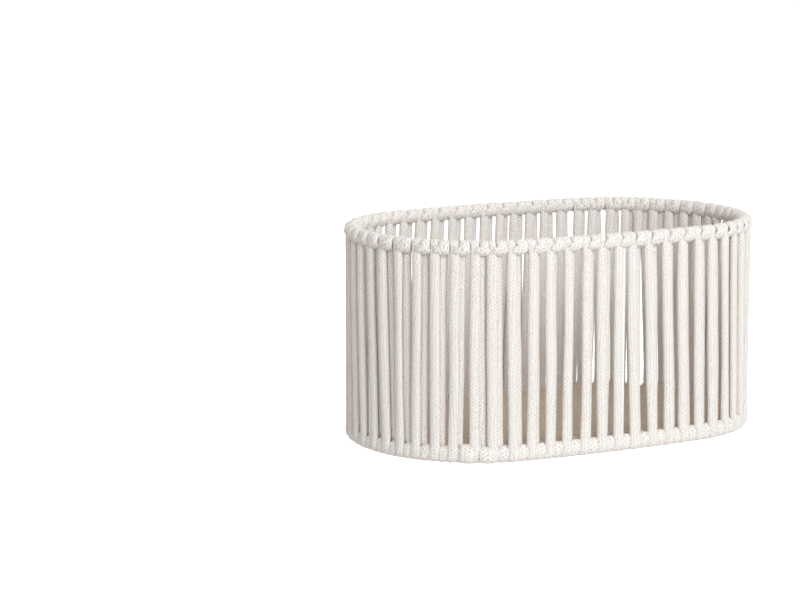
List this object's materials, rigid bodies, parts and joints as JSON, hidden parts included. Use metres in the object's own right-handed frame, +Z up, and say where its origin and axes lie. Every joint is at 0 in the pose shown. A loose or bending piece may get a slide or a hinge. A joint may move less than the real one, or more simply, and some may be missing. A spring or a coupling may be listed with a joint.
{
  "type": "oval cord-wound storage basket",
  "caption": "Open oval basket of ivory cotton cord wound over a welded wire frame, with gaps between the cords and a flat floor of cords.",
  "frame": {"origin": "on the ground, under the middle of the basket", "axes": "+Z up out of the open top, +X along the basket's length, +Y across it to the back"},
  "size_m": [0.258, 0.1604, 0.13],
  "materials": {
    "cotton_cord": "matt braided cotton, ivory",
    "frame_wire": "smooth white enamel"
  },
  "bodies": {
    "root": {"bottom_ring": "frame_wire", "bottom_wraps_back": "cotton_cord", "bottom_wraps_back_left": "cotton_cord", "bottom_wraps_back_right": "cotton_cord", "bottom_wraps_front": "cotton_cord", "bottom_wraps_front_left": "cotton_cord", "bottom_wraps_front_right": "cotton_cord", "bottom_wraps_left_end": "cotton_cord", "bottom_wraps_right_end": "cotton_cord", "cord_end_tuck": "cotton_cord", "cord_start_tuck": "cotton_cord", "cross_wire_left": "frame_wire", "cross_wire_middle": "frame_wire", "cross_wire_right": "frame_wire", "floor_cord_01": "cotton_cord", "floor_cord_02": "cotton_cord", "floor_cord_03": "cotton_cord", "floor_cord_04": "cotton_cord", "floor_cord_05": "cotton_cord", "floor_cord_06": "cotton_cord", "floor_cord_07": "cotton_cord", "floor_cord_08": "cotton_cord", "floor_cord_09": "cotton_cord", "floor_cord_10": "cotton_cord", "floor_cord_11": "cotton_cord", "floor_cord_12": "cotton_cord", "floor_cord_13": "cotton_cord", "floor_cord_14": "cotton_cord", "floor_cord_15": "cotton_cord", "floor_cord_16": "cotton_cord", "floor_cord_17": "cotton_cord", "floor_cord_18": "cotton_cord", "floor_cord_19": "cotton_cord", "floor_cord_20": "cotton_cord", "floor_cord_21": "cotton_cord", "strut_back": "frame_wire", "strut_front": "frame_wire", "strut_left": "frame_wire", "strut_right": "frame_wire", "top_ring": "frame_wire", "top_wraps_back": "cotton_cord", "top_wraps_back_left": "cotton_cord", "top_wraps_back_right": "cotton_cord", "top_wraps_front": "cotton_cord", "top_wraps_front_left": "cotton_cord", "top_wraps_front_right": "cotton_cord", "top_wraps_left_end": "cotton_cord", "top_wraps_right_end": "cotton_cord", "wall_turns_back": "cotton_cord", "wall_turns_back_left": "cotton_cord", "wall_turns_back_right": "cotton_cord", "wall_turns_front": "cotton_cord", "wall_turns_front_left": "cotton_cord", "wall_turns_front_right": "cotton_cord", "wall_turns_left_end": "cotton_cord", "wall_turns_right_end": "cotton_cord"}
  },
  "joints": []
}
